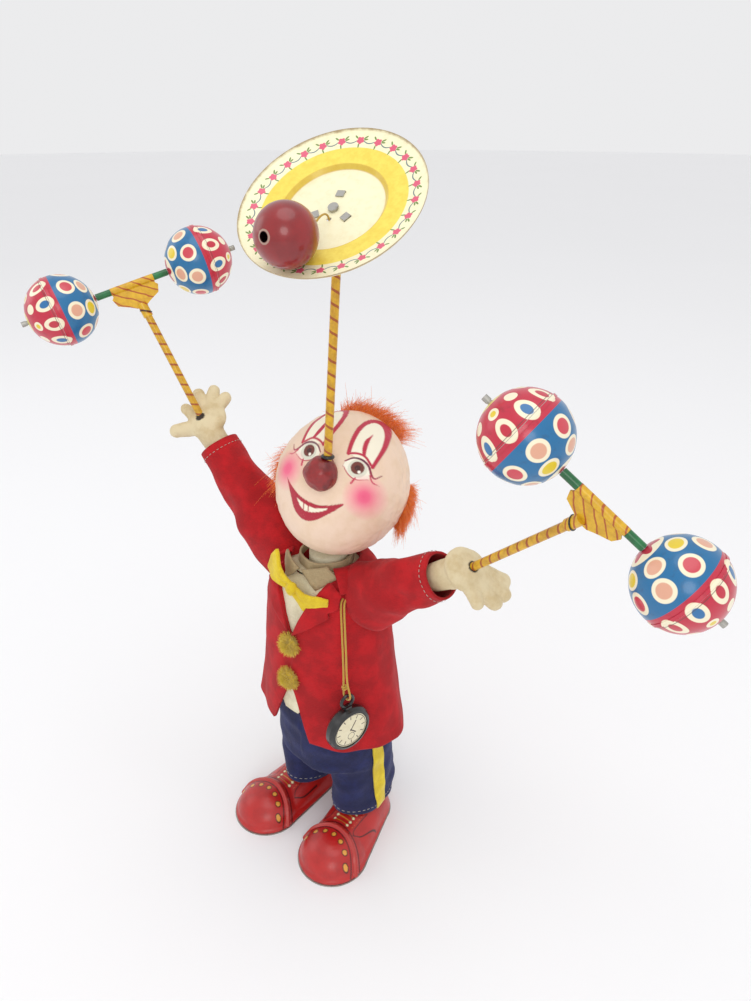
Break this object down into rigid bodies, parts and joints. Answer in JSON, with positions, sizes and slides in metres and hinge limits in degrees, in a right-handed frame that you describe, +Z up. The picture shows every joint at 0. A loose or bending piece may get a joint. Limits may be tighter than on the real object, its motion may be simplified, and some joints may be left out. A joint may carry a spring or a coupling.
{
  "type": "clockwork juggling clown toy",
  "caption": "Clockwork figure in cloth suit and tin shoes, balancing a spinning dish on a nose stick and holding two wands with pairs of printed balls.",
  "frame": {"origin": "on the surface it stands on, midway between the two shoes, under the body's axis", "axes": "+Z up through the body, +Y to the figure's back, +X to the figure's left hand"},
  "size_m": [0.2939, 0.1012, 0.3217],
  "materials": {
    "steel": "satin plated steel",
    "spring_steel": "blued spring steel",
    "brass": "satin",
    "tin_red": "glossy printed tin",
    "tin_blue": "glossy printed tin",
    "tin_crimson": "glossy printed tin",
    "navy_cloth": "short velvet pile",
    "plush_red": "short velvet pile",
    "shirt_cloth": "plain weave",
    "collar_cloth": "ribbed tape",
    "crepe_yellow": "crepe",
    "olive_fluff": "fluffy wool",
    "composition": "aged painted composition",
    "yellow_stick": "gloss enamel with red spiral",
    "yellow_tin": "glossy printed tin",
    "green_tube": "glossy",
    "nose_red": "worn dark lacquer",
    "hair_orange": "long fluffy pile",
    "dish_print": "glossy printed tin",
    "bead_red": "dark red lacquer",
    "cord_yellow": "twisted cotton",
    "watch_black": "glossy",
    "watch_dial": "printed card"
  },
  "bodies": {
    "figure": {"sole_plates": "steel", "shoe_right": "tin_red", "shoe_left": "tin_red", "leg_tubes": "steel", "trousers": "navy_cloth", "body_shell": "steel", "motor_front_plate": "steel", "motor_back_plate": "steel", "motor_pillars": "steel", "mainspring": "spring_steel", "slide_screws": "steel", "coat": "plush_red", "shirt_front": "shirt_cloth", "collar": "collar_cloth", "bow_tie": "crepe_yellow", "coat_buttons": "olive_fluff"},
    "click": {"click": "steel"},
    "winding": {"winding_arbor": "brass", "winding_key": "steel"},
    "great_wheel": {"great_wheel": "brass"},
    "second_wheel": {"second_wheel": "brass"},
    "crank": {"crank_wheel": "brass", "crank_disc": "steel"},
    "governor": {"governor_fly": "brass"},
    "drive_bar": {"drive_bar": "steel"},
    "arm_right": {"arm_lever_right": "steel", "hand_right": "composition", "sleeve_right": "plush_red"},
    "arm_left": {"arm_lever_left": "steel", "hand_left": "composition", "sleeve_left": "plush_red"},
    "wand_right": {"stick_right": "yellow_stick", "bracket_right": "yellow_tin", "axle_right": "steel", "spacers_right": "green_tube"},
    "wand_left": {"stick_left": "yellow_stick", "bracket_left": "yellow_tin", "axle_left": "steel", "spacers_left": "green_tube"},
    "neck": {"neck_rocker": "steel"},
    "head": {"head_shell": "composition", "nose": "nose_red", "hair": "hair_orange"},
    "dish_stick": {"dish_stick": "yellow_stick"},
    "dish_fork": {"dish_fork": "steel"},
    "dish": {"dish": "dish_print", "dish_bracket": "steel"},
    "bead": {"red_bead": "bead_red", "bead_string": "cord_yellow"},
    "watch": {"watch_case": "watch_black", "watch_dial": "watch_dial", "watch_cord": "cord_yellow"},
    "ball_right_front": {"ball_right_front_inner": "tin_blue", "ball_right_front_outer": "tin_crimson"},
    "ball_right_rear": {"ball_right_rear_inner": "tin_blue", "ball_right_rear_outer": "tin_crimson"},
    "ball_left_near": {"ball_left_near_inner": "tin_blue", "ball_left_near_outer": "tin_crimson"},
    "ball_left_far": {"ball_left_far_inner": "tin_blue", "ball_left_far_outer": "tin_crimson"}
  },
  "joints": [
    {"name": "click_swing", "type": "hinge", "parent": "figure", "child": "click", "pos_m": [0.0076, 0, 0.0895], "axis": [0, 1, 0], "range_deg": [-4, 6]},
    {"name": "winding_turn", "type": "hinge", "parent": "figure", "child": "winding", "pos_m": [0, 0, 0.088], "axis": [0, 1, 0], "continuous": true},
    {"name": "great_wheel_turn", "type": "hinge", "parent": "figure", "child": "great_wheel", "pos_m": [0, 0, 0.088], "axis": [0, 1, 0], "continuous": true},
    {"name": "second_turn", "type": "hinge", "parent": "figure", "child": "second_wheel", "pos_m": [0, 0, 0.109], "axis": [0, 1, 0], "continuous": true},
    {"name": "crank_turn", "type": "hinge", "parent": "figure", "child": "crank", "pos_m": [-0.01083, 0, 0.11525], "axis": [0, 1, 0], "continuous": true},
    {"name": "governor_turn", "type": "hinge", "parent": "figure", "child": "governor", "pos_m": [-0.00608, 0, 0.12348], "axis": [0, 1, 0], "continuous": true},
    {"name": "bar_slide", "type": "slide", "parent": "figure", "child": "drive_bar", "axis": [1, 0, 0], "range_m": [-0.00193, 0.00507]},
    {"name": "arm_right_swing", "type": "hinge", "parent": "figure", "child": "arm_right", "pos_m": [-0.014, 0, 0.137], "axis": [0, 1, 0], "range_deg": [-20.8, 7.95]},
    {"name": "arm_left_swing", "type": "hinge", "parent": "figure", "child": "arm_left", "pos_m": [0.014, 0, 0.137], "axis": [0, 1, 0], "range_deg": [-20.8, 7.95]},
    {"name": "neck_rock", "type": "hinge", "parent": "figure", "child": "neck", "pos_m": [0, 0, 0.14], "axis": [0, 1, 0], "range_deg": [-10.4, 3.97]},
    {"name": "head_turn", "type": "hinge", "parent": "neck", "child": "head", "pos_m": [0, 0.003, 0.17], "axis": [0, 0, 1], "range_deg": [-30, 30]},
    {"name": "wand_right_spin", "type": "hinge", "parent": "arm_right", "child": "wand_right", "pos_m": [-0.074, 0, 0.198], "axis": [-0.4321, -0.1192, 0.8939], "continuous": true},
    {"name": "wand_left_spin", "type": "hinge", "parent": "arm_left", "child": "wand_left", "pos_m": [0.073, 0, 0.176], "axis": [0.7317, -0.1109, 0.6726], "continuous": true},
    {"name": "ball_right_front_spin", "type": "hinge", "parent": "wand_right", "child": "ball_right_front", "pos_m": [-0.103, -0.008, 0.258], "axis": [0.4076, 0.878, 0.2509], "continuous": true},
    {"name": "ball_right_rear_spin", "type": "hinge", "parent": "wand_right", "child": "ball_right_rear", "pos_m": [-0.103, -0.008, 0.258], "axis": [0.4076, 0.878, 0.2509], "continuous": true},
    {"name": "ball_left_near_spin", "type": "hinge", "parent": "wand_left", "child": "ball_left_near", "pos_m": [0.1225, -0.0075, 0.2215], "axis": [0.8013, 0.1414, -0.5813], "continuous": true},
    {"name": "ball_left_far_spin", "type": "hinge", "parent": "wand_left", "child": "ball_left_far", "pos_m": [0.1225, -0.0075, 0.2215], "axis": [0.8013, 0.1414, -0.5813], "continuous": true},
    {"name": "dish_stick_spin", "type": "hinge", "parent": "head", "child": "dish_stick", "pos_m": [0.014, -0.011, 0.207], "axis": [-0.0382, 0.1524, 0.9876], "continuous": true},
    {"name": "dish_tilt", "type": "hinge", "parent": "dish_stick", "child": "dish_fork", "pos_m": [0.01067, 0.0023, 0.29318], "axis": [0.9698, 0.2439, -0.0002], "range_deg": [-95, 0]},
    {"name": "dish_spin", "type": "hinge", "parent": "dish_fork", "child": "dish", "pos_m": [0.0115, -0.001, 0.2975], "axis": [0.151, -0.5998, 0.7858], "continuous": true},
    {"name": "bead_swing", "type": "hinge", "parent": "dish", "child": "bead", "pos_m": [0.01235, -0.00455, 0.29462], "axis": [0.151, -0.5998, 0.7858], "range_deg": [-50, 50]},
    {"name": "watch_swing", "type": "hinge", "parent": "figure", "child": "watch", "pos_m": [0.021, -0.011, 0.1454], "axis": [-0.3015, -0.9045, -0.3015], "range_deg": [0, 20]}
  ],
  "couplings": [
    {"joint": "second_turn", "follows": "great_wheel_turn", "ratio": -4},
    {"joint": "crank_turn", "follows": "great_wheel_turn", "ratio": 16},
    {"joint": "governor_turn", "follows": "great_wheel_turn", "ratio": -60},
    {"joint": "arm_right_swing", "follows": "bar_slide", "rad_per_m": -71.429},
    {"joint": "arm_left_swing", "follows": "bar_slide", "rad_per_m": -71.429},
    {"joint": "neck_rock", "follows": "bar_slide", "rad_per_m": -35.714}
  ]
}
